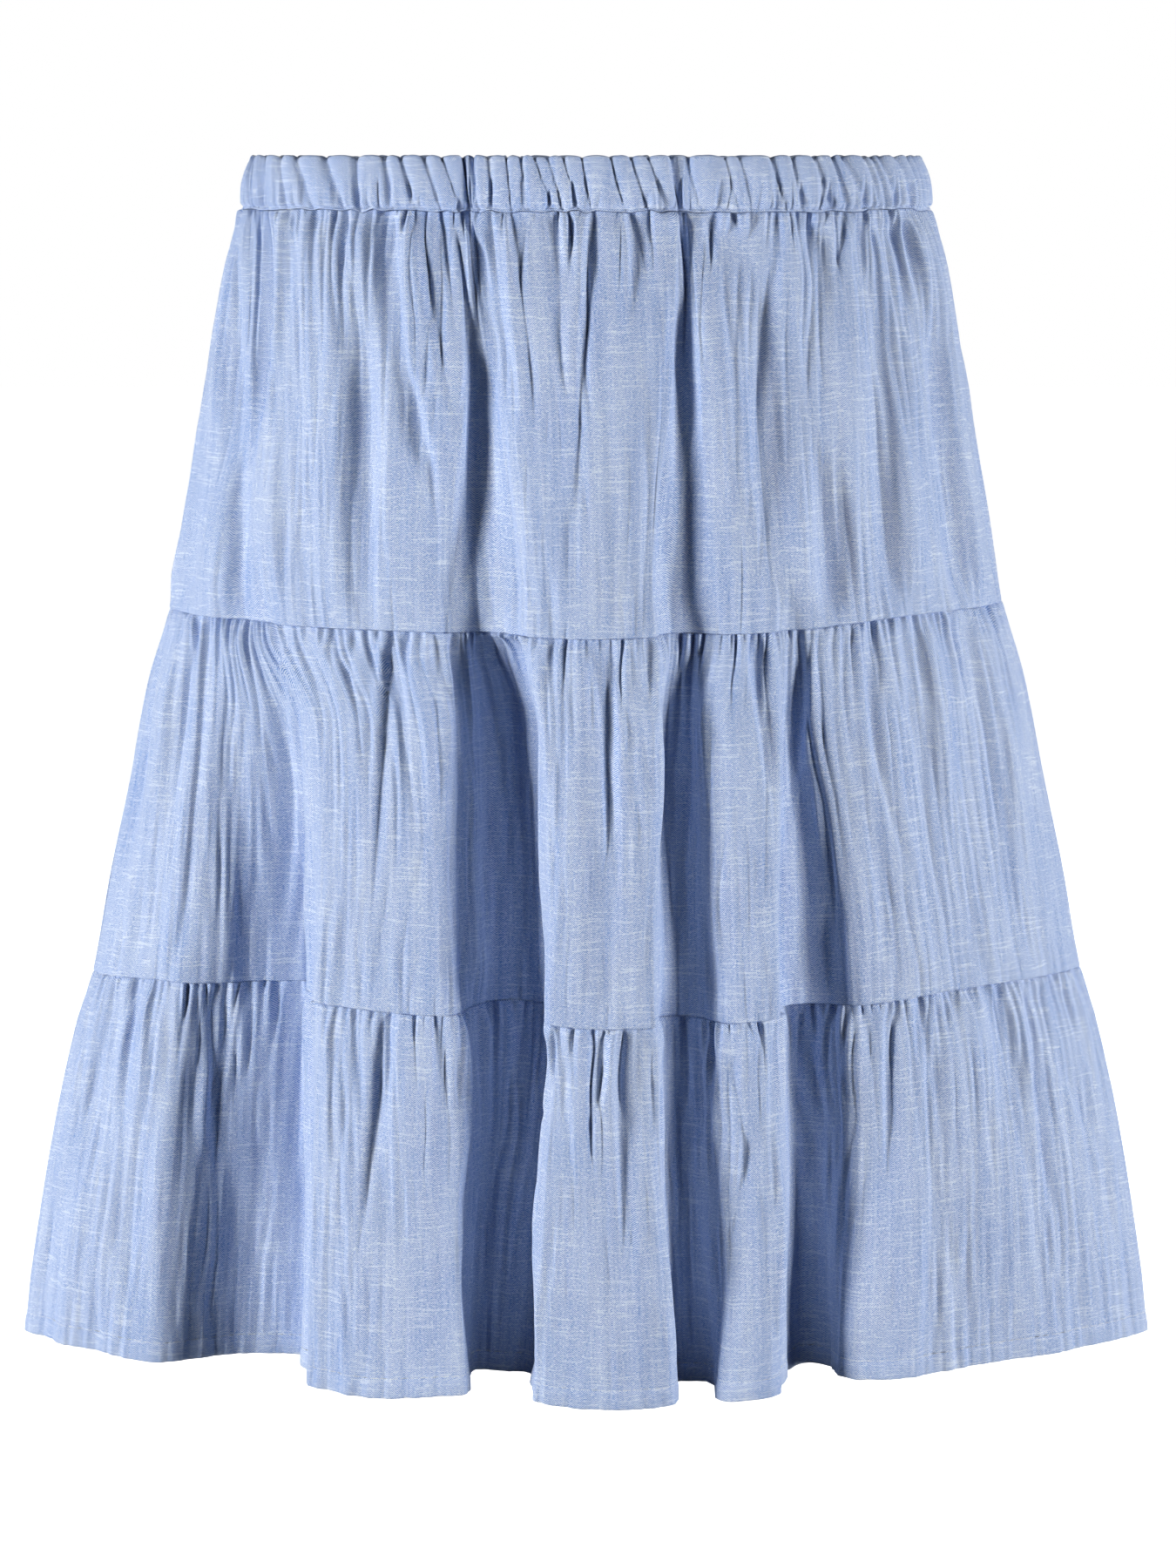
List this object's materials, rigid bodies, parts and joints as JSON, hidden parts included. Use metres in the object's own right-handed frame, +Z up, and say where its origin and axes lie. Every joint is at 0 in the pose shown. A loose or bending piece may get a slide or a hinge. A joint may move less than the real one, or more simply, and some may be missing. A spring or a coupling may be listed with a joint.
{
  "type": "tiered midi skirt",
  "caption": "Gathered tiered skirt in light chambray, with a gathered elastic casing at the waist, held open as worn.",
  "frame": {"origin": "middle of the waist opening, level with the waistband's top edge, where a wearer holds the skirt", "axes": "+Z up towards the waist opening, front of the skirt towards -Y, +X to the right of someone who looks at the front"},
  "size_m": [0.6264, 0.28, 0.6505],
  "materials": {
    "chambray": "matt crinkled cotton chambray in light blue, with paler weft slubs",
    "thread": "off-white cotton sewing thread"
  },
  "bodies": {
    "root": {"waistband": "chambray", "tier1_front": "chambray", "tier1_back": "chambray", "tier2_front": "chambray", "tier2_back": "chambray", "tier3_front": "chambray", "tier3_back": "chambray"}
  },
  "joints": []
}
